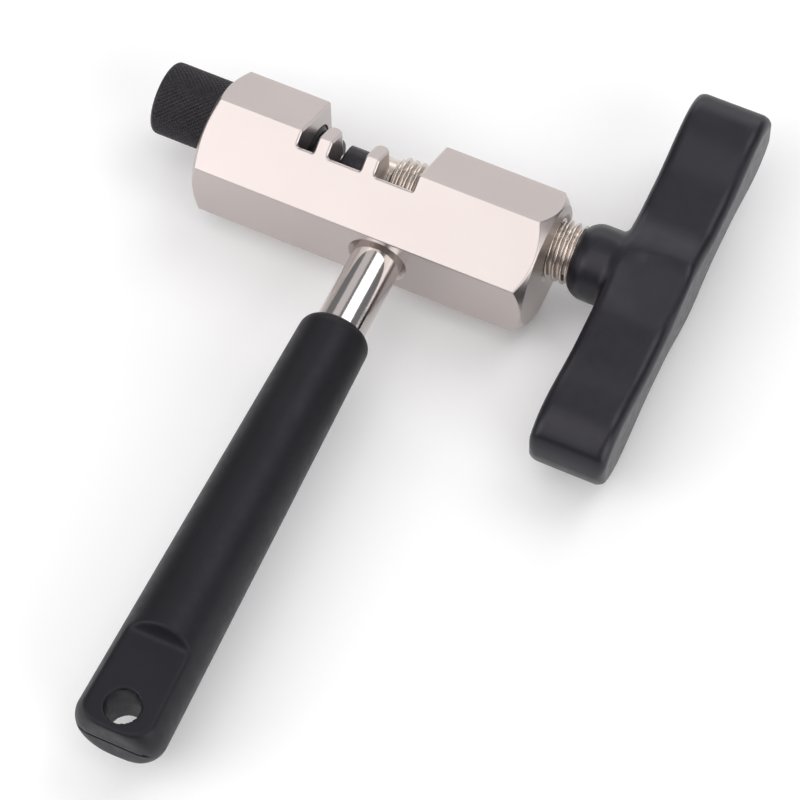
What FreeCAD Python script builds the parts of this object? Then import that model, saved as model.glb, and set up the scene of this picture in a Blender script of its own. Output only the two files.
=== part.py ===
"""Bicycle chain tool: a hexagonal steel bar with two chain cradles, a drive screw with a
T-handle on the right, a knurled support screw on the left, and a hand grip on a rod.

Construction frame: X runs along the bar towards the T-handle, Y points out of the chain
slots (the hand grip hangs along -Y), and Z is up with a hexagon corner at top and bottom.
Its origin is on the bar's own axis where the rod leaves it. Every piece is then shifted so
that the finished tool stands on z = 0, centred on x = 0 and y = 0. Millimetres.
"""
import FreeCAD, Part
import Sketcher
import math
import os

from FreeCAD import Vector

os.makedirs("parts", exist_ok=True)
doc = FreeCAD.newDocument("ChainTool")

# ---------------------------------------------------------------- driving dimensions
SIZES = [
    # hexagonal body
    ("across_flats", 20.0), ("body_left", -32.5), ("body_right", 24.2),
    ("left_face_radius", 8.8), ("left_face_slope", 0.47),
    ("right_face_radius", 9.8), ("right_face_slope", 0.85),
    ("edge_round", 0.25),
    # chain slots and the two teeth between them
    ("slot_floor", -2.0), ("far_gap_left", -17.15), ("far_tooth_left", -14.35),
    ("far_tooth_right", -11.97), ("near_tooth_left", -6.4), ("near_tooth_right", -4.0),
    ("near_gap_right", 2.5), ("tooth_top", 4.0), ("tooth_round", 1.1),
    ("floor_round", 0.35), ("slot_mouth_round", 0.45),
    # screw line
    ("axis_offset", 3.5), ("thread_radius", 4.95), ("thread_fit", 0.05),
    ("thread_lead_in", 0.6), ("cradle_radius", 4.1),
    # drive screw and what it pushes
    ("drive_nose_left", -6.2), ("drive_nose_radius", 3.95), ("drive_thread_left", -3.5),
    ("hub_left", 27.2), ("insert_radius", 4.2), ("insert_right", 40.0),
    ("stem_radius", 2.2), ("stem_fit", 0.05), ("stem_right", 4.0),
    ("holder_radius", 3.46), ("holder_shoulder", -11.8), ("holder_tip", -12.27),
    ("holder_tip_radius", 2.3), ("pin_radius", 1.6), ("pin_tip", -15.4),
    ("pin_seat_right", -1.5), ("pin_tip_chamfer", 0.3),
    # snap rings that tie a non-turning nose to its screw
    ("ring_inner", 1.85), ("ring_outer", 2.55), ("ring_width", 0.6), ("ring_play", 0.1),
    ("drive_ring_left", 0.6), ("pad_ring_left", -24.4),
    # T-handle
    ("hub_radius", 6.2), ("hub_round", 2.8), ("bar_left", 34.1), ("bar_width", 12.5),
    ("bar_half_length", 33.9), ("bar_tip_half", 2.6), ("bar_shoulder", 31.6),
    ("bar_lobe", 26.5), ("bar_lobe_half", 6.3), ("bar_waist", 13.5),
    ("bar_waist_half", 4.3), ("bar_middle_half", 6.9), ("bar_edge_round", 1.5),
    ("bar_tip_round", 2.0), ("bar_shoulder_round", 4.0), ("bar_lobe_round", 9.0),
    ("bar_waist_round", 20.0), ("bar_middle_round", 30.0), ("bar_shoulder_drop", 0.9),
    ("bar_dip", 3.0),
    # support screw
    ("knob_left", -43.35), ("knob_right", -33.1), ("knob_radius", 6.0),
    ("knob_round", 0.9), ("shank_right", -16.8), ("pad_right", -13.26),
    ("pad_radius", 3.72), ("pad_round", 0.7), ("pad_bore_radius", 1.9),
    ("pad_bore_left", -22.0), ("pad_stem_left", -26.5), ("pad_flange_left", -18.6),
    # rod and grip
    ("rod_radius", 4.0), ("rod_seat", -3.3), ("rod_sink_radius", 4.95),
    ("rod_sink_depth", 0.9), ("rod_end", -82.0), ("rod_chamfer", 0.5),
    ("grip_top", -23.6), ("grip_end", -99.7), ("grip_top_radius", 5.66),
    ("grip_end_radius", 7.28), ("grip_top_round", 2.2), ("grip_end_round", 3.6),
    ("flat_half", 4.8), ("flat_start", -84.0), ("flat_run_out", 5.2),
    ("hang_hole_radius", 2.7), ("hang_hole_y", -95.3),
]

sheet = doc.addObject("Spreadsheet::Sheet", "dims")
for row, (alias, size) in enumerate(SIZES, start=1):
    sheet.set("A%d" % row, alias)
    sheet.set("B%d" % row, str(size))
    sheet.setAlias("B%d" % row, alias)
doc.recompute()


class Dim:
    """A size that knows its value and the spreadsheet expression that gives it."""

    def __init__(self, value, text):
        self.value = value
        self.text = text

    @staticmethod
    def of(thing):
        return thing if isinstance(thing, Dim) else Dim(float(thing), repr(float(thing)))

    def _join(self, other, sign, value):
        return Dim(value, "(%s %s %s)" % (self.text, sign, other.text))

    def __add__(self, other):
        other = Dim.of(other)
        return self._join(other, "+", self.value + other.value)

    def __sub__(self, other):
        other = Dim.of(other)
        return self._join(other, "-", self.value - other.value)

    def __mul__(self, other):
        other = Dim.of(other)
        return self._join(other, "*", self.value * other.value)

    def __truediv__(self, other):
        other = Dim.of(other)
        return self._join(other, "/", self.value / other.value)

    def __neg__(self):
        return Dim(-self.value, "(0 - %s)" % self.text)


def dim(alias):
    return Dim(float(sheet.get(alias)), "dims.%s" % alias)


ZERO = Dim.of(0)
BEYOND = Dim.of(16.0)          # outside the body, for cutting outlines
OVERLAP = Dim.of(1.0)          # how far a cutting or joining outline runs into its neighbour
HEX_CORNER = dim("across_flats") / Dim.of(math.sqrt(3))

# The finished tool's centre and lowest point, measured in the construction frame
CENTRE_X = (dim("knob_left") + dim("bar_left") + dim("bar_width")) / 2
CENTRE_Y = (dim("grip_end") + dim("axis_offset") + dim("bar_half_length")) / 2


# ---------------------------------------------------------------- helpers
def bind(obj, prop, size):
    """Set a property and tie it to the spreadsheet."""
    obj.setExpression(prop, Dim.of(size).text)


def new_body(label, on_screw_line=False, dip=None):
    """A piece in its own local frame, placed in the finished tool's frame."""
    body = doc.addObject("PartDesign::Body", label)
    body.Label = label
    lift = dim("axis_offset") if on_screw_line else ZERO
    if dip is not None:
        body.Placement = FreeCAD.Placement(Vector(), FreeCAD.Rotation(Vector(1, 0, 0), dip.value))
        bind(body, "Placement.Rotation.Angle", dip)
    bind(body, "Placement.Base.x", -CENTRE_X)
    bind(body, "Placement.Base.y", lift - CENTRE_Y)
    bind(body, "Placement.Base.z", HEX_CORNER)
    return body


def plane_of(body, role):
    return [f for f in body.Origin.OriginFeatures if f.Role == role][0]


def sketch_on(body, role, offset=None):
    sketch = body.newObject("Sketcher::SketchObject", body.Name + "_sketch")
    sketch.AttachmentSupport = (plane_of(body, role), [""])
    sketch.MapMode = "FlatFace"
    if offset is not None:
        bind(sketch, "AttachmentOffset.Base.z", offset)
    return sketch


def pin_point(sketch, geometry, end, across, up):
    """Lock one point of a sketch to two spreadsheet sizes."""
    for kind, size in (("DistanceX", across), ("DistanceY", up)):
        where = sketch.addConstraint(
            Sketcher.Constraint(kind, -1, 1, geometry, end, size.value))
        sketch.setExpression("Constraints[%d]" % where, size.text)


def outline(sketch, corners):
    """A closed outline of straight edges through (across, up) sizes."""
    corners = [(Dim.of(a), Dim.of(b)) for a, b in corners]
    points = [Vector(a.value, b.value, 0) for a, b in corners]
    first = sketch.GeometryCount
    count = len(points)
    for i in range(count):
        sketch.addGeometry(Part.LineSegment(points[i], points[(i + 1) % count]), False)
    for i in range(count):
        sketch.addConstraint(Sketcher.Constraint(
            "Coincident", first + i, 2, first + (i + 1) % count, 1))
    for i, (across, up) in enumerate(corners):
        pin_point(sketch, first + i, 1, across, up)


def ring(sketch, across, up, radius):
    """A circle with its centre and radius tied to the spreadsheet."""
    centre = Vector(across.value, up.value, 0)
    circle = sketch.addGeometry(Part.Circle(centre, Vector(0, 0, 1), radius.value), False)
    pin_point(sketch, circle, 3, across, up)
    where = sketch.addConstraint(Sketcher.Constraint("Radius", circle, radius.value))
    sketch.setExpression("Constraints[%d]" % where, radius.text)


def centre_line(sketch, left, right, up):
    """A construction line to turn about; the sketch offers it as Axis0."""
    ends = [Vector(left.value, up.value, 0), Vector(right.value, up.value, 0)]
    line = sketch.addGeometry(Part.LineSegment(*ends), True)
    pin_point(sketch, line, 1, left, up)
    pin_point(sketch, line, 2, right, up)


def turn(body, corners, axis="H_Axis", kind="PartDesign::Revolution"):
    """Turn an outline drawn on the XY plane about the local X (H) or Y (V) axis."""
    sketch = sketch_on(body, "XY_Plane")
    outline(sketch, corners)
    feature = body.newObject(kind, body.Name + "_turn")
    feature.Profile = sketch
    feature.ReferenceAxis = (sketch, [axis])
    feature.Angle = 360
    doc.recompute()
    return feature


def cut_turn(body, corners, axis="H_Axis"):
    """Turn away material and check that some has gone."""
    before = body.Shape.Volume
    feature = turn(body, corners, axis, "PartDesign::Groove")
    if body.Shape.Volume > before - 1e-3:
        raise RuntimeError("nothing cut from " + body.Label)
    return feature


def cut_through(body, role, draw):
    """Pocket an outline right through the piece, both ways from an origin plane."""
    before = body.Shape.Volume
    sketch = sketch_on(body, role)
    draw(sketch)
    pocket = body.newObject("PartDesign::Pocket", body.Name + "_pocket")
    pocket.Profile = sketch
    pocket.Type = "ThroughAll"
    pocket.Midplane = True
    doc.recompute()
    if body.Shape.Volume > before - 1e-3:
        raise RuntimeError("nothing cut from " + body.Label)
    return pocket


def round_edges(body, base, radius, wanted):
    """Round the edges of a feature that a test picks out."""
    names = ["Edge%d" % (i + 1) for i, edge in enumerate(base.Shape.Edges) if wanted(edge)]
    if not names:
        raise RuntimeError("no edge to round on " + body.Label)
    fillet = body.newObject("PartDesign::Fillet", body.Name + "_round")
    fillet.Base = (base, names)
    bind(fillet, "Radius", radius)
    doc.recompute()
    return fillet


def runs_along(edge, direction):
    """True for a straight edge along a direction."""
    if not isinstance(edge.Curve, Part.Line):
        return False
    return abs(abs(edge.Curve.Direction.dot(direction)) - 1) < 1e-6


def is_circle_at(edge, coordinate, value, radius):
    """True for a full circle whose centre has this coordinate and that has this radius."""
    if not isinstance(edge.Curve, Part.Circle):
        return False
    centre = getattr(edge.Curve.Center, coordinate)
    return abs(centre - value) < 1e-4 and abs(edge.Curve.Radius - radius) < 1e-4


# ---------------------------------------------------------------- hexagonal body
def make_body():
    body = new_body("body")
    half = dim("across_flats") / 2
    corner = HEX_CORNER
    sketch = sketch_on(body, "YZ_Plane", dim("body_left"))
    outline(sketch, [
        (ZERO, corner), (-half, corner / 2), (-half, -corner / 2),
        (ZERO, -corner), (half, -corner / 2), (half, corner / 2)])
    bar = body.newObject("PartDesign::Pad", "hexagon_bar")
    bar.Profile = sketch
    bind(bar, "Length", dim("body_right") - dim("body_left"))
    doc.recompute()

    # Turned faces: a shallow cone on the left end, a short one on the right
    for end, inward in (("left", 1), ("right", -1)):
        face = dim("body_" + end)
        radius = dim(end + "_face_radius")
        run = (BEYOND - radius) * dim(end + "_face_slope") * inward
        cut_turn(body, [
            (face, radius), (face + run, BEYOND),
            (face - OVERLAP * inward, BEYOND), (face - OVERLAP * inward, radius)])

    # Chain slots: everything above the slot floors, apart from the two teeth
    floor, top = dim("slot_floor"), dim("tooth_top")
    walls = [
        (dim("far_gap_left"), BEYOND), (dim("far_gap_left"), floor),
        (dim("far_tooth_left"), floor), (dim("far_tooth_left"), top),
        (dim("far_tooth_right"), top), (dim("far_tooth_right"), floor),
        (dim("near_tooth_left"), floor), (dim("near_tooth_left"), top),
        (dim("near_tooth_right"), top), (dim("near_tooth_right"), floor),
        (dim("near_gap_right"), floor), (dim("near_gap_right"), BEYOND)]
    slots = cut_through(body, "XY_Plane", lambda sketch: outline(sketch, walls))

    def upright_at(level):
        def test(edge):
            along_z = runs_along(edge, Vector(0, 0, 1))
            return along_z and abs(edge.Vertexes[0].Point.y - level) < 1e-4
        return test

    rounded = round_edges(body, slots, dim("tooth_round"), upright_at(top.value))
    rounded = round_edges(body, rounded, dim("floor_round"), upright_at(floor.value))

    def on_hexagon(point):
        to_slant = abs(point.y) / 2 + abs(point.z) * math.sqrt(3) / 2
        return max(abs(point.y), to_slant) > half.value - 1e-3

    def outer(edge):
        first, last = edge.FirstParameter, edge.LastParameter
        return all(on_hexagon(edge.valueAt(first + (last - first) * share))
                   for share in (0.1, 0.5, 0.9))

    def is_corner(edge):
        across = abs(edge.CenterOfMass.y)
        return runs_along(edge, Vector(1, 0, 0)) and min(across, half.value - across) < 1e-3

    slots_middle = (dim("far_gap_left") + dim("near_gap_right")) / 2
    slots_reach = (dim("near_gap_right") - dim("far_gap_left")) / 2 + OVERLAP

    def at_slots(edge):
        return abs(edge.CenterOfMass.x - slots_middle.value) < slots_reach.value

    def slot_mouth(edge):
        return outer(edge) and at_slots(edge) and not is_corner(edge)

    def corner_or_end(edge):
        straight = runs_along(edge, Vector(1, 0, 0))
        return outer(edge) and (is_corner(edge) or not (straight or at_slots(edge)))

    # The slots' mouths are tumbled smooth, then the hexagon's corners and the turned ends
    rounded = round_edges(body, rounded, dim("slot_mouth_round"), slot_mouth)
    round_edges(body, rounded, dim("edge_round"), corner_or_end)

    # One stepped bore on the screw line: threads in both blocks, cradles in the teeth
    line = dim("axis_offset")
    thread = line + dim("thread_radius") + dim("thread_fit")
    cradle = line + dim("cradle_radius")
    lead = dim("thread_lead_in")
    before = body.Shape.Volume
    bore_sketch = sketch_on(body, "XY_Plane")
    outline(bore_sketch, [
        (dim("body_left") - OVERLAP, line),
        (dim("body_left") - OVERLAP, thread + lead + OVERLAP),
        (dim("body_left") + lead, thread),
        (dim("far_gap_left") + OVERLAP, thread), (dim("far_gap_left") + OVERLAP, cradle),
        (dim("near_gap_right") - OVERLAP, cradle), (dim("near_gap_right") - OVERLAP, thread),
        (dim("body_right") - lead, thread),
        (dim("body_right") + OVERLAP, thread + lead + OVERLAP),
        (dim("body_right") + OVERLAP, line)])
    centre_line(bore_sketch, dim("body_left"), dim("body_right"), line)
    bore = body.newObject("PartDesign::Groove", "screw_bore")
    bore.Profile = bore_sketch
    bore.ReferenceAxis = (bore_sketch, ["Axis0"])
    bore.Angle = 360
    doc.recompute()
    if body.Shape.Volume > before - 1e-3:
        raise RuntimeError("the screw bore cut nothing")

    # Blind seat for the rod in the flat opposite the slots, with a countersunk mouth
    mouth = -dim("across_flats") / 2
    cut_turn(body, [
        (ZERO, mouth - OVERLAP), (dim("rod_sink_radius"), mouth - OVERLAP),
        (dim("rod_sink_radius"), mouth),
        (dim("rod_radius"), mouth + dim("rod_sink_depth")), (dim("rod_radius"), dim("rod_seat")),
        (ZERO, dim("rod_seat"))], "V_Axis")
    return body


# ---------------------------------------------------------------- drive side
def make_drive_screw():
    """Nickel-plated M10 screw: plain nose, thread, and an insert inside the T-handle."""
    body = new_body("drive_screw", on_screw_line=True)
    bore = dim("stem_radius") + dim("stem_fit")
    groove = dim("ring_outer") + dim("ring_play")
    lead = dim("thread_radius") - dim("drive_nose_radius")
    turn(body, [
        (dim("drive_nose_left"), bore), (dim("drive_nose_left"), dim("drive_nose_radius")),
        (dim("drive_thread_left"), dim("drive_nose_radius")),
        (dim("drive_thread_left") + lead / 2, dim("thread_radius")),
        (dim("hub_left"), dim("thread_radius")), (dim("hub_left"), dim("insert_radius")),
        (dim("insert_right"), dim("insert_radius")), (dim("insert_right"), ZERO),
        (dim("stem_right") + dim("ring_play"), ZERO), (dim("stem_right") + dim("ring_play"), bore),
        (dim("drive_ring_left") + dim("ring_width") + dim("ring_play"), bore),
        (dim("drive_ring_left") + dim("ring_width") + dim("ring_play"), groove),
        (dim("drive_ring_left") - dim("ring_play"), groove),
        (dim("drive_ring_left") - dim("ring_play"), bore)])
    return body


def make_pin_holder():
    """Black turned holder: it slides without turning and carries the drive pin."""
    body = new_body("pin_holder", on_screw_line=True)
    turn(body, [
        (dim("holder_tip"), dim("pin_radius")), (dim("holder_tip"), dim("holder_tip_radius")),
        (dim("holder_shoulder"), dim("holder_radius")),
        (dim("drive_nose_left") - dim("ring_play"), dim("holder_radius")),
        (dim("drive_nose_left") - dim("ring_play"), dim("stem_radius")),
        (dim("drive_ring_left"), dim("stem_radius")), (dim("drive_ring_left"), dim("ring_inner")),
        (dim("drive_ring_left") + dim("ring_width"), dim("ring_inner")),
        (dim("drive_ring_left") + dim("ring_width"), dim("stem_radius")),
        (dim("stem_right"), dim("stem_radius")), (dim("stem_right"), ZERO),
        (dim("pin_seat_right"), ZERO), (dim("pin_seat_right"), dim("pin_radius"))])
    return body


def make_drive_pin():
    """Hardened pin that pushes the rivet, pressed into the holder."""
    body = new_body("drive_pin", on_screw_line=True)
    tip, chamfer = dim("pin_tip"), dim("pin_tip_chamfer")
    turn(body, [
        (tip, ZERO), (tip, dim("pin_radius") - chamfer), (tip + chamfer, dim("pin_radius")),
        (dim("pin_seat_right"), dim("pin_radius")), (dim("pin_seat_right"), ZERO)])
    return body


def make_snap_ring(label, left):
    """Square-section ring that ties a nose's stem to the screw around it."""
    body = new_body(label, on_screw_line=True)
    right = left + dim("ring_width")
    turn(body, [
        (left, dim("ring_inner")), (left, dim("ring_outer")),
        (right, dim("ring_outer")), (right, dim("ring_inner"))])
    return body


def make_t_handle():
    """Moulded T-handle: a waisted bar across a round hub."""
    body = new_body("t_handle", on_screw_line=True, dip=dim("bar_dip"))
    side = [
        (dim("bar_half_length"), dim("bar_tip_half")),
        (dim("bar_shoulder"), dim("bar_lobe_half") - dim("bar_shoulder_drop")),
        (dim("bar_lobe"), dim("bar_lobe_half")), (dim("bar_waist"), dim("bar_waist_half")),
        (ZERO, dim("bar_middle_half"))]
    upper = side + [(-across, up) for across, up in reversed(side[:-1])]
    lower = [(across, -up) for across, up in reversed(upper)]
    sketch = sketch_on(body, "YZ_Plane", dim("bar_left"))
    outline(sketch, upper + lower)
    bar = body.newObject("PartDesign::Pad", "bar")
    bar.Profile = sketch
    bind(bar, "Length", dim("bar_width"))
    doc.recompute()

    hub = turn(body, [
        (dim("hub_left"), ZERO), (dim("hub_left"), dim("hub_radius")),
        (dim("bar_left") + OVERLAP, dim("hub_radius")), (dim("bar_left") + OVERLAP, ZERO)])

    def bar_corner(across):
        def test(edge):
            at_station = abs(abs(edge.Vertexes[0].Point.y) - across.value) < 1e-4
            return at_station and runs_along(edge, Vector(1, 0, 0))
        return test

    last = hub
    for across, radius in (
            (dim("bar_half_length"), "bar_tip_round"), (dim("bar_shoulder"), "bar_shoulder_round"),
            (dim("bar_lobe"), "bar_lobe_round"), (dim("bar_waist"), "bar_waist_round"),
            (ZERO, "bar_middle_round")):
        last = round_edges(body, last, dim(radius), bar_corner(across))

    right = dim("bar_left").value + dim("bar_width").value

    def rim(edge):
        xs = [v.Point.x for v in edge.Vertexes]
        return all(abs(x - right) < 1e-4 for x in xs)

    last = round_edges(body, last, dim("bar_edge_round"), rim)

    def hub_mouth(edge):
        return is_circle_at(edge, "x", dim("hub_left").value, dim("hub_radius").value)

    round_edges(body, last, dim("hub_round"), hub_mouth)

    cut_turn(body, [
        (dim("hub_left") - OVERLAP, ZERO), (dim("hub_left") - OVERLAP, dim("insert_radius")),
        (dim("insert_right"), dim("insert_radius")), (dim("insert_right"), ZERO)])
    return body


# ---------------------------------------------------------------- support side
def make_support_screw():
    """Black M10 screw and its knurled knob, turned from one bar."""
    body = new_body("support_screw", on_screw_line=True)
    bore = dim("stem_radius") + dim("stem_fit")
    groove = dim("ring_outer") + dim("ring_play")
    lead = dim("thread_lead_in")
    bore_end = dim("pad_stem_left") - dim("ring_play")
    seat = dim("pad_flange_left") - dim("ring_play")
    seat_radius = dim("pad_radius") + dim("stem_fit")
    ring_left = dim("pad_ring_left") - dim("ring_play")
    ring_right = dim("pad_ring_left") + dim("ring_width") + dim("ring_play")
    screw = turn(body, [
        (dim("knob_left"), ZERO), (dim("knob_left"), dim("knob_radius")),
        (dim("knob_right"), dim("knob_radius")), (dim("knob_right"), dim("thread_radius")),
        (dim("shank_right") - lead, dim("thread_radius")),
        (dim("shank_right"), dim("thread_radius") - lead),
        (dim("shank_right"), seat_radius), (seat, seat_radius), (seat, bore),
        (ring_right, bore), (ring_right, groove), (ring_left, groove), (ring_left, bore),
        (bore_end, bore), (bore_end, ZERO)])

    def knob_end(edge):
        return is_circle_at(edge, "x", dim("knob_left").value, dim("knob_radius").value)

    round_edges(body, screw, dim("knob_round"), knob_end)
    return body


def make_support_pad():
    """Non-turning nose that backs the chain's outer plate, hollow for the rivet."""
    body = new_body("support_pad", on_screw_line=True)
    ring_right = dim("pad_ring_left") + dim("ring_width")
    pad = turn(body, [
        (dim("pad_right"), dim("pad_bore_radius")), (dim("pad_right"), dim("pad_radius")),
        (dim("pad_flange_left"), dim("pad_radius")), (dim("pad_flange_left"), dim("stem_radius")),
        (ring_right, dim("stem_radius")), (ring_right, dim("ring_inner")),
        (dim("pad_ring_left"), dim("ring_inner")), (dim("pad_ring_left"), dim("stem_radius")),
        (dim("pad_stem_left"), dim("stem_radius")), (dim("pad_stem_left"), ZERO),
        (dim("pad_bore_left"), ZERO), (dim("pad_bore_left"), dim("pad_bore_radius"))])

    def nose_end(edge):
        return is_circle_at(edge, "x", dim("pad_right").value, dim("pad_radius").value)

    round_edges(body, pad, dim("pad_round"), nose_end)
    return body


# ---------------------------------------------------------------- rod and grip
def make_handle_rod():
    body = new_body("handle_rod")
    top, end, chamfer = dim("rod_seat"), dim("rod_end"), dim("rod_chamfer")
    turn(body, [
        (ZERO, top), (dim("rod_radius") - chamfer, top), (dim("rod_radius"), top - chamfer),
        (dim("rod_radius"), end + chamfer), (dim("rod_radius") - chamfer, end), (ZERO, end)],
        "V_Axis")
    return body


def make_grip():
    """Moulded grip: a slim cone whose end is flattened and drilled for hanging."""
    body = new_body("grip")
    top, end = dim("grip_top"), dim("grip_end")
    cone = turn(body, [
        (ZERO, top), (dim("grip_top_radius"), top), (dim("grip_end_radius"), end), (ZERO, end)],
        "V_Axis")

    def rim_at(level, radius):
        return lambda edge: is_circle_at(edge, "y", level.value, radius.value)

    rounded = round_edges(
        body, cone, dim("grip_top_round"), rim_at(top, dim("grip_top_radius")))
    round_edges(body, rounded, dim("grip_end_round"), rim_at(end, dim("grip_end_radius")))

    # Flats above and below, running out on a slope where the cone begins again
    start, run, half = dim("flat_start"), dim("flat_run_out"), dim("flat_half")
    for side in (1, -1):
        cut_through(body, "YZ_Plane", lambda sketch, side=side: outline(sketch, [
            (end - OVERLAP, half * side), (start, half * side),
            (start + run, (half + run) * side), (end - OVERLAP, (half + run) * side)]))

    cut_through(body, "XY_Plane", lambda sketch: ring(
        sketch, ZERO, dim("hang_hole_y"), dim("hang_hole_radius")))

    # Blind bore that the rod fills
    cut_turn(body, [
        (ZERO, top + OVERLAP), (dim("rod_radius"), top + OVERLAP),
        (dim("rod_radius"), dim("rod_end")),
        (ZERO, dim("rod_end"))], "V_Axis")
    return body


PIECES = [
    make_body(), make_drive_screw(), make_pin_holder(), make_drive_pin(),
    make_snap_ring("drive_snap_ring", dim("drive_ring_left")), make_t_handle(),
    make_support_screw(), make_support_pad(),
    make_snap_ring("support_snap_ring", dim("pad_ring_left")), make_handle_rod(), make_grip(),
]

# ---------------------------------------------------------------- check and write
doc.recompute()
for thing in doc.Objects:
    if "Invalid" in thing.State or "Error" in thing.State:
        raise RuntimeError("%s did not build: %s" % (thing.Name, thing.State))
for piece in PIECES:
    if piece.Shape.isNull() or not piece.Shape.isValid():
        raise RuntimeError("%s has no valid shape" % piece.Label)
    piece.Shape.exportStep("parts/%s.step" % piece.Label)
    box = piece.Shape.BoundBox
    print("%-18s volume %9.2f  x %7.2f %7.2f  y %7.2f %7.2f  z %7.2f %7.2f" % (
        piece.Label, piece.Shape.Volume, box.XMin, box.XMax, box.YMin, box.YMax,
        box.ZMin, box.ZMax))
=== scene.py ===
"""Bicycle chain tool: the looks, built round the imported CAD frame.

Lengths in the helper calls are millimetres in the construction frame of the tool: X along
the screws towards the T-handle, Y out of the chain slots, Z up, with the origin where the
rod's axis meets the body's axis. place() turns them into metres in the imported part's frame.
"""

import math

import bpy
import numpy as np
from mathutils import Matrix, Vector


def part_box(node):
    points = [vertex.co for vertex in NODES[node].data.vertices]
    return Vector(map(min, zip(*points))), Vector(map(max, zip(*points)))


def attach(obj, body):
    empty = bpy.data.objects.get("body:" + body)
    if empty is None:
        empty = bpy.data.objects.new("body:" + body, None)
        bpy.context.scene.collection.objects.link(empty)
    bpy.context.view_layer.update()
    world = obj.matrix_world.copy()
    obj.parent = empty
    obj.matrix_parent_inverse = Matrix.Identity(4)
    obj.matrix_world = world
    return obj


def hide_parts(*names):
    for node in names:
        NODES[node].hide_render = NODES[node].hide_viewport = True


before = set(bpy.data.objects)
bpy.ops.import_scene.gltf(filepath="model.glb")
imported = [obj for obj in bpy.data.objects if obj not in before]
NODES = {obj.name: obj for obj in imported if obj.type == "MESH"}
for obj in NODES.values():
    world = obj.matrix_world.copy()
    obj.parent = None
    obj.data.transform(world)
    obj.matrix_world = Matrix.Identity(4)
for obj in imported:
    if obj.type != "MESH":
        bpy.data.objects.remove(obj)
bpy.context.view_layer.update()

MM = 0.001


def centre(node):
    low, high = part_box(node)
    return (low + high) / 2


ROD = centre("handle_rod")
SCREW_LINE = centre("drive_pin")
AXIS_OFFSET = 3.5
ORIGIN = Vector((ROD.x, SCREW_LINE.y - AXIS_OFFSET * MM, ROD.z))


def along(node):
    """(lowest, highest) corner of a node in the construction frame, in millimetres."""
    low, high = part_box(node)
    return (low - ORIGIN) / MM, (high - ORIGIN) / MM


def place(points):
    """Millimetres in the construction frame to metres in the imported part's frame."""
    return np.asarray(points, float) * MM + np.array(ORIGIN)


# ------------------------------------------------------------------ mesh helpers
def mesh_object(name, points, faces):
    """A smooth-shaded object from points in millimetres and faces as rows of indices."""
    mesh = bpy.data.meshes.new(name)
    mesh.from_pydata([tuple(p) for p in place(points)], [], [tuple(f) for f in faces])
    mesh.validate()
    mesh.update()
    mesh.polygons.foreach_set("use_smooth", [True] * len(mesh.polygons))
    piece = bpy.data.objects.new(name, mesh)
    bpy.context.scene.collection.objects.link(piece)
    return piece


def turned(name, stations, radius_at, around):
    """A solid about the screw line: radius_at(x, angle) at each x station, capped at both ends."""
    xs = np.asarray(stations, float)
    angles = np.arange(around) * 2 * math.pi / around
    grid_x, grid_a = np.meshgrid(xs, angles, indexing="ij")
    radius = radius_at(grid_x, grid_a)
    rings = np.stack([
        grid_x, AXIS_OFFSET + radius * np.cos(grid_a), radius * np.sin(grid_a)], -1)
    ends = np.array([[xs[0], AXIS_OFFSET, 0], [xs[-1], AXIS_OFFSET, 0]])
    points = np.vstack([rings.reshape(-1, 3), ends])
    left_end, right_end = len(points) - 2, len(points) - 1

    bands = len(xs) - 1
    last_ring = bands * around
    i, j = np.meshgrid(np.arange(bands), np.arange(around), indexing="ij")
    here, beside = i * around + j, i * around + (j + 1) % around
    quads = np.stack([here + around, beside + around, beside, here], -1).reshape(-1, 4)
    faces = [tuple(quad) for quad in quads]
    faces += [(left_end, (k + 1) % around, k) for k in range(around)]
    faces += [(right_end, last_ring + k, last_ring + (k + 1) % around) for k in range(around)]
    return mesh_object(name, points, faces)


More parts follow.
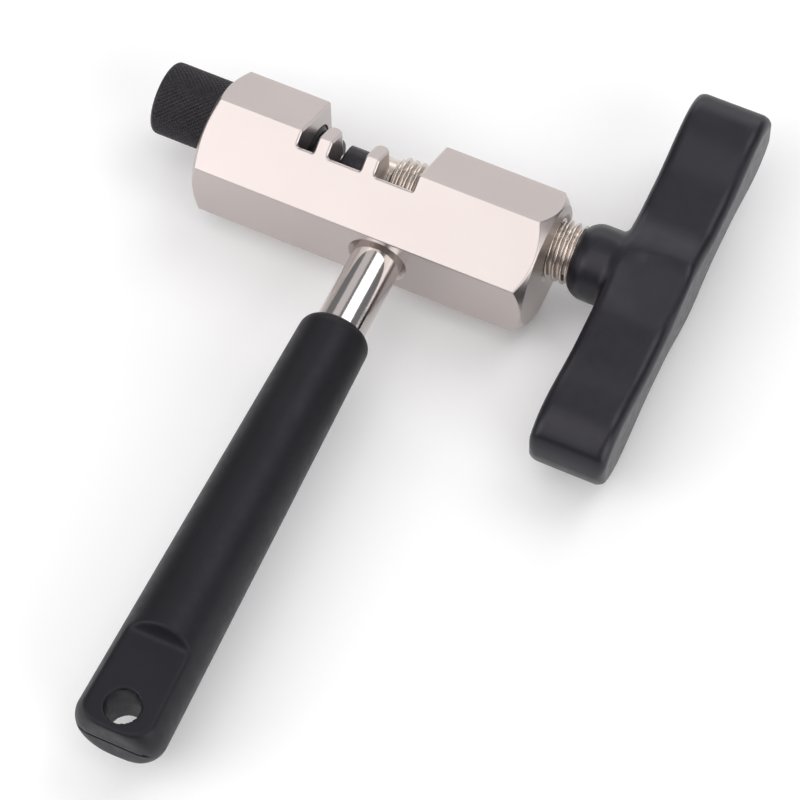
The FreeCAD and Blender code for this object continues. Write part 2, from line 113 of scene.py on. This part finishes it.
def surface_net(name, distance, low, high, step):
    """The zero surface of a signed distance, as quads, with each point drawn onto it.

    A cell of the grid that the surface crosses gets one point, the mean of the crossings on
    its edges. A grid edge that the surface crosses gets one quad, through the four cells
    round it.
    """
    axes = [np.arange(low[k] - step, high[k] + 2 * step, step) for k in range(3)]
    field = distance(*np.meshgrid(*axes, indexing="ij"))
    inside = field < 0
    cell_grid = [n - 1 for n in inside.shape]

    def at_corner(corner):
        """The field at one corner of every cell."""
        return field[tuple(slice(c, c + n) for c, n in zip(corner, cell_grid))]

    crossings = np.zeros(cell_grid + [3])
    hits = np.zeros(cell_grid)
    corners = [(i, j, k) for i in (0, 1) for j in (0, 1) for k in (0, 1)]
    for near in corners:
        for k in range(3):
            if near[k]:
                continue
            far = tuple(near[m] + (m == k) for m in range(3))
            field_near, field_far = at_corner(near), at_corner(far)
            cross = (field_near < 0) != (field_far < 0)
            share = np.where(cross, field_near / np.where(cross, field_near - field_far, 1), 0)
            for m in range(3):
                offset = near[m] + (share if m == k else 0)
                crossings[..., m] += np.where(cross, offset, 0)
            hits += cross
    cells = np.argwhere(hits > 0)
    index = -np.ones(cell_grid, int)
    index[tuple(cells.T)] = np.arange(len(cells))
    local = crossings[tuple(cells.T)] / hits[tuple(cells.T)][:, None]
    start = np.array([axis[0] for axis in axes])
    points = start + (cells + local) * step

    unit = np.eye(3, dtype=int)
    faces = []
    for k in range(3):
        u, v = (k + 1) % 3, (k + 2) % 3
        edge = np.argwhere(inside != np.roll(inside, -1, axis=k))
        edge = edge[edge[:, k] < inside.shape[k] - 1]
        edge = edge[(edge[:, u] > 0) & (edge[:, v] > 0)]
        edge = edge[(edge[:, u] < cell_grid[u]) & (edge[:, v] < cell_grid[v])]
        round_edge = (0 * unit[u], unit[u], unit[u] + unit[v], unit[v])
        quads = np.stack([index[tuple((edge - s).T)] for s in round_edge], -1)
        leaving = inside[tuple(edge.T)]
        quads[~leaving] = quads[~leaving][:, ::-1]
        faces.append(quads)
    faces = np.vstack(faces)

    nudge, least_slope, passes = 1e-3, 0.2, 4
    for _ in range(passes):
        value = distance(*points.T)
        slope = np.stack([
            distance(*(points + nudge * np.eye(3)[k]).T) - value for k in range(3)], -1) / nudge
        points -= slope * (value / np.maximum((slope ** 2).sum(1), least_slope))[:, None]
    return mesh_object(name, points, faces.tolist())


def both(a, b, radius):
    """Intersection of two distances with its edge rounded."""
    u, v = np.maximum(a + radius, 0), np.maximum(b + radius, 0)
    return np.minimum(np.maximum(a, b), -radius) + np.hypot(u, v)


def either(a, b, radius):
    """Union of two distances with its corner filleted."""
    return -both(-a, -b, radius)


# ------------------------------------------------------------------ materials
def new_material(name, color, metallic, roughness):
    material = bpy.data.materials.new(name)
    material.use_nodes = True
    shader = material.node_tree.nodes["Principled BSDF"]
    shader.inputs["Base Color"].default_value = (*color, 1)
    shader.inputs["Metallic"].default_value = metallic
    shader.inputs["Roughness"].default_value = roughness
    return material, shader


def noise(material, scale, detail):
    """Object-space noise, with scale in features per metre."""
    nodes, links = material.node_tree.nodes, material.node_tree.links
    where = nodes.new("ShaderNodeTexCoord")
    texture = nodes.new("ShaderNodeTexNoise")
    texture.inputs["Scale"].default_value = scale
    texture.inputs["Detail"].default_value = detail
    links.new(where.outputs["Object"], texture.inputs["Vector"])
    return texture.outputs["Fac"]


def spread(material, source, low, high, start=0.3, end=0.7):
    """Map a factor's stretch from start to end onto the range from low to high."""
    nodes, links = material.node_tree.nodes, material.node_tree.links
    node = nodes.new("ShaderNodeMapRange")
    node.inputs["From Min"].default_value = start
    node.inputs["From Max"].default_value = end
    node.inputs["To Min"].default_value = low
    node.inputs["To Max"].default_value = high
    links.new(source, node.inputs["Value"])
    return node.outputs["Result"]


def mottle(material, shader, factor, first, second):
    """Base colour that goes from the first to the second with the factor."""
    nodes, links = material.node_tree.nodes, material.node_tree.links
    node = nodes.new("ShaderNodeMix")
    node.data_type = "RGBA"
    node.inputs["A"].default_value = (*first, 1)
    node.inputs["B"].default_value = (*second, 1)
    links.new(factor, node.inputs["Factor"])
    links.new(node.outputs["Result"], shader.inputs["Base Color"])


def uneven_gloss(material, shader, factor):
    material.node_tree.links.new(factor, shader.inputs["Roughness"])


def bump(material, shader, height, distance):
    """Fine relief, with its depth in metres."""
    nodes, links = material.node_tree.nodes, material.node_tree.links
    node = nodes.new("ShaderNodeBump")
    node.inputs["Distance"].default_value = distance
    node.inputs["Strength"].default_value = 1.0
    links.new(height, node.inputs["Height"])
    links.new(node.outputs["Normal"], shader.inputs["Normal"])


def plated_steel(name, bright, shade, roughness, grain, grain_scale=5200):
    """Nickel plate: slightly clouded colour, uneven gloss and a fine grain."""
    material, shader = new_material(name, bright, 1.0, roughness)
    clouds = spread(material, noise(material, scale=90, detail=2), 0, 1, start=0.15, end=0.85)
    mottle(material, shader, clouds, bright, shade)
    handling = noise(material, scale=1400, detail=2)
    uneven_gloss(material, shader, spread(
        material, handling, roughness * 0.92, roughness * 1.1, start=0.1, end=0.9))
    bump(material, shader, noise(material, grain_scale, detail=1), grain)
    return material


def moulded_plastic(name, color, worn, roughness, grain, grain_scale, gloss):
    """Black moulding: faint cloudiness, spark-eroded grain and slightly uneven gloss."""
    material, shader = new_material(name, color, 0.0, roughness)
    clouds = spread(material, noise(material, scale=120, detail=3), 0, 1)
    mottle(material, shader, clouds, color, worn)
    handling = noise(material, scale=600, detail=4)
    uneven_gloss(material, shader, spread(
        material, handling, roughness * 0.9, roughness * 1.15))
    bump(material, shader, noise(material, grain_scale, detail=2), grain)
    shader.inputs["Specular Tint"].default_value = (0.92, 0.90, 1.0, 1)
    shader.inputs["Specular IOR Level"].default_value = gloss
    return material


def blackened_steel(name, color, worn, roughness):
    """Black oxide over turned steel, a little rubbed."""
    material, shader = new_material(name, color, 0.75, roughness)
    rubbing = spread(material, noise(material, scale=1500, detail=4), 0, 1)
    mottle(material, shader, rubbing, color, worn)
    handling = noise(material, scale=2500, detail=3)
    uneven_gloss(material, shader, spread(
        material, handling, roughness * 0.85, roughness * 1.2))
    bump(material, shader, noise(material, scale=9000, detail=2), 0.000002)
    return material


NICKEL = plated_steel(
    "nickel_body", (0.56, 0.508, 0.492), (0.532, 0.48, 0.464),
    roughness=0.30, grain=0.0000032)
SCREW_NICKEL = plated_steel(
    "nickel_screw", (0.68, 0.62, 0.57), (0.56, 0.50, 0.45),
    roughness=0.26, grain=0.000002)
ROD_CHROME = plated_steel(
    "polished_rod", (0.70, 0.665, 0.65), (0.66, 0.62, 0.60),
    roughness=0.12, grain=0.0000030, grain_scale=3800)
BLACK_STEEL = blackened_steel(
    "black_steel", (0.030, 0.028, 0.032), (0.045, 0.042, 0.047),
    roughness=0.42)
PIN_STEEL = plated_steel(
    "pin_steel", (0.42, 0.41, 0.41), (0.34, 0.33, 0.33),
    roughness=0.22, grain=0.000001)
SPRING_STEEL = plated_steel(
    "spring_steel", (0.40, 0.39, 0.38), (0.30, 0.29, 0.28),
    roughness=0.3, grain=0.000001)
T_PLASTIC = moulded_plastic(
    "t_handle_plastic", (0.0085, 0.0080, 0.0105), (0.011, 0.0105, 0.0135),
    roughness=0.35, grain=0.000006, grain_scale=5200, gloss=0.42)
GRIP_PLASTIC = moulded_plastic(
    "grip_plastic", (0.0060, 0.0058, 0.0076), (0.0085, 0.0082, 0.0105),
    roughness=0.46, grain=0.000010, grain_scale=4200, gloss=0.32)

FINISH = {
    "body": NICKEL, "drive_screw": SCREW_NICKEL, "pin_holder": BLACK_STEEL,
    "drive_pin": PIN_STEEL, "drive_snap_ring": SPRING_STEEL, "t_handle": T_PLASTIC,
    "support_screw": BLACK_STEEL, "support_pad": BLACK_STEEL,
    "support_snap_ring": SPRING_STEEL, "handle_rod": ROD_CHROME, "grip": GRIP_PLASTIC,
}


def finish_with(piece, material):
    piece.data.materials.clear()
    piece.data.materials.append(material)


def stands_for(piece, node, body):
    """A detailed piece takes a CAD node's place and its finish."""
    finish_with(piece, FINISH[node])
    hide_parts(node)
    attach(piece, body)


for node_name, node_object in NODES.items():
    finish_with(node_object, FINISH[node_name])


# ------------------------------------------------------------------ threads and knurl
PITCH = 1.25
THREAD_DEPTH = 0.72
ROOT_SHARE, FLANK_SHARE = 0.16, 0.66


def thread(x, angle, crest):
    """Radius of a right-hand thread. The shares are of half a pitch; the crest has the rest."""
    phase = x / PITCH - angle / (2 * math.pi)
    ridge = np.abs(2 * (phase - np.floor(phase)) - 1)
    climb = np.clip((ridge - ROOT_SHARE) / FLANK_SHARE, 0, 1)
    return crest - THREAD_DEPTH * (1 - climb * climb * (3 - 2 * climb))


def make_drive_screw():
    """A plain nose, the thread up to just inside the T-handle, and a hidden core."""
    low, high = along("drive_screw")
    hub_left = along("t_handle")[0].x
    crest = (high.y - low.y) / 2
    nose_left, nose_length, nose_round = low.x, 2.7, 0.35
    nose_radius, core_radius = crest - 1.0, crest - 0.75
    thread_left, thread_right = nose_left + nose_length, hub_left + 0.5
    lead_length, lead_slope, lead_floor = 1.0, 1.6, nose_radius - 0.02
    stations = np.concatenate([
        nose_left + np.array([0, 0.05, 0.15, 0.35, 1.0]),
        np.arange(thread_left - 0.4, thread_right + 0.1, PITCH / 18), [high.x]])

    def radius_at(x, angle):
        from_end = np.clip(1 - (x - nose_left) / nose_round, 0, 1)
        nose = nose_radius - nose_round * from_end ** 2
        ridges = thread(x, angle, crest)
        lead = np.minimum(ridges, nose_radius + (x - thread_left) * lead_slope)
        return np.select(
            [x < thread_left, x < thread_left + lead_length, x <= thread_right],
            [nose, np.maximum(lead, lead_floor), ridges], core_radius)

    return turned("drive_screw_threaded", stations, radius_at, around=160)


def make_support_screw():
    """A knurled knob with rounded ends on a threaded shank."""
    low, high = along("support_screw")
    knob_left, knob_radius = low.x, (high.y - low.y) / 2
    knob_right, shank_right = knob_left + 10.25, high.x
    knob_round, knob_bevel = 0.85, 0.3
    crest, taper_length, taper_slope = 4.95, 0.7, 1.1
    knurl_pitch, knurl_depth = 0.80, 0.20
    knurl_left, knurl_run_in = knob_left + knob_round * 0.55, 0.35
    knurl_right, knurl_run_out = knob_right - 0.25, 0.25
    ridges = round(2 * math.pi * knob_radius / knurl_pitch)
    stations = np.concatenate([
        [knob_left], np.linspace(knob_left + 0.02, knob_left + knob_round, 14),
        np.arange(knob_left + knob_round + 0.055, knob_right - knob_bevel, 0.065),
        np.linspace(knob_right - 0.28, knob_right, 6), [knob_right + 0.01],
        np.arange(knob_right + 0.08, shank_right - 0.02, PITCH / 16), [shank_right]])

    def radius_at(x, angle):
        turn = angle * ridges / (2 * math.pi)
        drift = x / knurl_pitch
        rising = np.abs(2 * ((turn + drift) % 1) - 1)
        falling = np.abs(2 * ((turn - drift) % 1) - 1)
        groove = np.maximum(rising, falling) ** 3
        fade = np.clip((x - knurl_left) / knurl_run_in, 0, 1)
        fade = fade * np.clip((knurl_right - x) / knurl_run_out, 0, 1)
        near_end = np.clip(1 - (x - knob_left) / knob_round, 0, 1)
        rounding = knob_round * (1 - np.sqrt(np.clip(1 - near_end ** 2, 0, 1)))
        far_end = np.clip(1 - (knob_right - x) / knob_bevel, 0, 1)
        knob = knob_radius - rounding - knob_bevel * far_end - knurl_depth * fade * groove
        taper = crest - np.clip(x - (shank_right - taper_length), 0, 1) * taper_slope
        shank = np.minimum(thread(x, angle, crest), taper)
        return np.where(x <= knob_right, knob, shank)

    return turned("support_screw_knurled", stations, radius_at, around=576)


# ------------------------------------------------------------------ mouldings
def make_t_handle():
    """A waisted bar with rounded ends across a ball-shaped hub."""
    low, high = along("t_handle")
    bar_right, bar_width, half_length = high.x, 12.5, 33.9
    bar_middle = bar_right - bar_width / 2
    hub_left, hub_radius = low.x, 6.2
    dip = math.radians(3.0)
    waist, crest, boss = 4.5, 6.25, 6.6
    boss_end, lobe_start, crest_s, end_reach, end_share = 10.5, 15.0, 27.0, 7.6, 0.93
    tip_round, edge_round, hub_round, hub_fillet = 1.6, 1.7, 3.4, 0.9
    sink_x, sink_s, sink_n, sink_radius, sink_round = 43.0, -5.5, 23.6, 18.0, 1.2

    def half_thickness(s):
        """Half the bar's thickness at a distance s along it from the screw line."""
        s = np.abs(s)
        rise = np.clip((s - lobe_start) / (crest_s - lobe_start), 0, 1)
        fall = np.clip(s / boss_end, 0, 1)
        inner = waist + (crest - waist) * (1 - np.cos(rise * math.pi)) / 2
        inner += (boss - waist) * (1 + np.cos(fall * math.pi)) / 2
        past = np.clip((s - crest_s) / end_reach, 0, end_share)
        return np.where(s > crest_s, crest * np.sqrt(1 - past ** 2), inner)

    def distance(x, y, z):
        s = (y - AXIS_OFFSET) * math.cos(dip) + z * math.sin(dip)
        n = -(y - AXIS_OFFSET) * math.sin(dip) + z * math.cos(dip)
        nudge = 0.01
        slope = (half_thickness(s + nudge) - half_thickness(s)) / nudge
        faces = (np.abs(n) - half_thickness(s)) / np.sqrt(1 + slope ** 2)
        side = both(faces, np.abs(s) - half_length, tip_round)
        bar = both(side, np.abs(x - bar_middle) - bar_width / 2, edge_round)
        off_axis = np.hypot(y - AXIS_OFFSET, z)
        hub = both(off_axis - hub_radius, np.maximum(hub_left - x, x - bar_middle), hub_round)
        sink = np.sqrt((x - sink_x) ** 2 + (s - sink_s) ** 2 + (n - sink_n) ** 2) - sink_radius
        return either(both(bar, -sink, sink_round), hub, hub_fillet)

    low_corner = (hub_left, low.y, low.z)
    return surface_net("t_handle_moulding", distance, low_corner, tuple(high), step=0.34)


def make_grip():
    """A slim cone that ends in a flat tongue with a hole to hang it by."""
    low, high = along("grip")
    end, top = low.y, high.y
    top_radius, end_radius = 5.66, 7.28
    taper = (end_radius - top_radius) / (top - end)
    top_round, end_round, end_edge_round = 2.3, 3.6, 0.9
    flat_half, flat_start, flat_edge_round, ramp_foot_round = 4.8, end + 15.6, 0.3, 0.12
    first_slope, steepening, longest_run = 0.45, 0.55, 2.5
    hole_y, hole_radius, hole_edge_round = end + 4.4, 2.7, 0.15
    seam_radius, seam_narrowing, seam_depth = 0.16, 1.2, 0.8
    away_from_seam = 1.0

    def distance(x, y, z):
        cone = np.hypot(x, z) - (top_radius + (top - y) * taper)
        flat = np.abs(z) - flat_half
        run = np.minimum(y - flat_start, longest_run)
        uphill = np.maximum(run, 0)
        rise = first_slope * run + steepening * uphill ** 2
        slope = first_slope + 2 * steepening * uphill
        ramp = (np.abs(z) - flat_half - rise) / np.sqrt(1 + slope ** 2)
        body = both(cone, y - top, top_round)
        body = both(body, end - y, end_round)
        body = both(body, either(flat, ramp, ramp_foot_round), flat_edge_round)
        body = both(body, end - y, end_edge_round)
        hole = hole_radius - np.hypot(x, y - hole_y)
        body = both(body, hole, hole_edge_round)
        seam = np.hypot(z * seam_narrowing, np.minimum(y - end, 0)) - seam_radius
        return np.maximum(body, -np.where(y < end + seam_depth, seam, away_from_seam))

    return surface_net("grip_moulding", distance, tuple(low), tuple(high), step=0.36)


stands_for(make_drive_screw(), "drive_screw", "drive")
stands_for(make_support_screw(), "support_screw", "support")
stands_for(make_t_handle(), "t_handle", "drive")
stands_for(make_grip(), "grip", "frame")

# ------------------------------------------------------------------ camera
AZIMUTH, ELEVATION, ROLL = (math.radians(a) for a in (25.603, 60.664, -0.762))
DISTANCE = 0.550
AIM = ORIGIN + Vector((10.14, -23.70, -14.47)) * MM
LENS = 159.12

back = Vector((
    math.sin(AZIMUTH) * math.cos(ELEVATION), -math.cos(AZIMUTH) * math.cos(ELEVATION),
    math.sin(ELEVATION)))
right = Vector((math.cos(AZIMUTH), math.sin(AZIMUTH), 0))
up = back.cross(right)
rolled_right = right * math.cos(ROLL) + up * math.sin(ROLL)
rolled_up = up * math.cos(ROLL) - right * math.sin(ROLL)
camera_data = bpy.data.cameras.new("camera")
camera_data.lens = LENS
camera_data.clip_start = 0.01
camera = bpy.data.objects.new("camera", camera_data)
bpy.context.scene.collection.objects.link(camera)
facing = Matrix((rolled_right, rolled_up, back)).transposed().to_4x4()
camera.matrix_world = Matrix.Translation(AIM + back * DISTANCE) @ facing
bpy.context.scene.camera = camera


# ------------------------------------------------------------------ lights
WARM = (1.0, 0.96, 0.95)
KEY_WARM = (1.0, 0.975, 0.965)
WHITE = (1, 1, 1)


def softbox(name, direction, distance, size, radiance, color=WHITE):
    """A soft light at a distance from the tool, facing it, of even radiance."""
    data = bpy.data.lights.new(name, "AREA")
    data.shape = "RECTANGLE"
    data.size, data.size_y = size
    data.energy = radiance * math.pi * size[0] * size[1]
    data.color = color
    lamp = bpy.data.objects.new(name, data)
    bpy.context.scene.collection.objects.link(lamp)
    way = Vector(direction).normalized()
    lamp.location = AIM + way * distance
    lamp.rotation_mode = "QUATERNION"
    lamp.rotation_quaternion = way.to_track_quat("Z", "Y")


softbox("key", (-0.21, -0.36, 0.91), 0.9, (0.66, 1.08), 1.58, KEY_WARM)
softbox("back_right", (0.29, 0.44, 0.85), 0.9, (0.50, 0.50), 2.2)
softbox("back_left", (-0.46, 0.44, 0.77), 0.9, (0.78, 0.36), 0.50, WARM)
softbox("back_high", (-0.21, 0.87, 0.44), 1.2, (1.3, 0.44), 1.7)
softbox("back_wall", (-0.21, 0.98, 0.08), 1.3, (1.7, 0.36), 0.70, WARM)
softbox("left_fill", (-0.80, -0.62, 0.50), 1.0, (0.7, 0.8), 1.6)
softbox("right_fill", (0.85, -0.36, 0.48), 1.0, (0.7, 0.8), 2.2)
softbox("right_wall", (0.99, 0.0, 0.13), 1.2, (1.2, 0.42), 1.3, WARM)

world = bpy.data.worlds.new("studio")
world.use_nodes = True
world.node_tree.nodes["Background"].inputs["Color"].default_value = (0.96, 0.96, 1.0, 1)
world.node_tree.nodes["Background"].inputs["Strength"].default_value = 0.22
bpy.context.scene.world = world
bpy.context.scene.view_settings.view_transform = "Standard"

# ------------------------------------------------------------------ floor
REACH = 3.0
floor_mesh = bpy.data.meshes.new("floor")
floor_mesh.from_pydata(
    [(-REACH, -REACH, 0), (REACH, -REACH, 0), (REACH, REACH, 0), (-REACH, REACH, 0)],
    [], [(0, 1, 2, 3)])
floor = bpy.data.objects.new("floor", floor_mesh)
bpy.context.scene.collection.objects.link(floor)
FLOOR, floor_shader = new_material("pale_floor", (0.97, 0.97, 0.975), 0.0, 0.6)
floor_shader.inputs["Emission Color"].default_value = (1, 1, 1, 1)
floor_shader.inputs["Emission Strength"].default_value = 0.06
finish_with(floor, FLOOR)
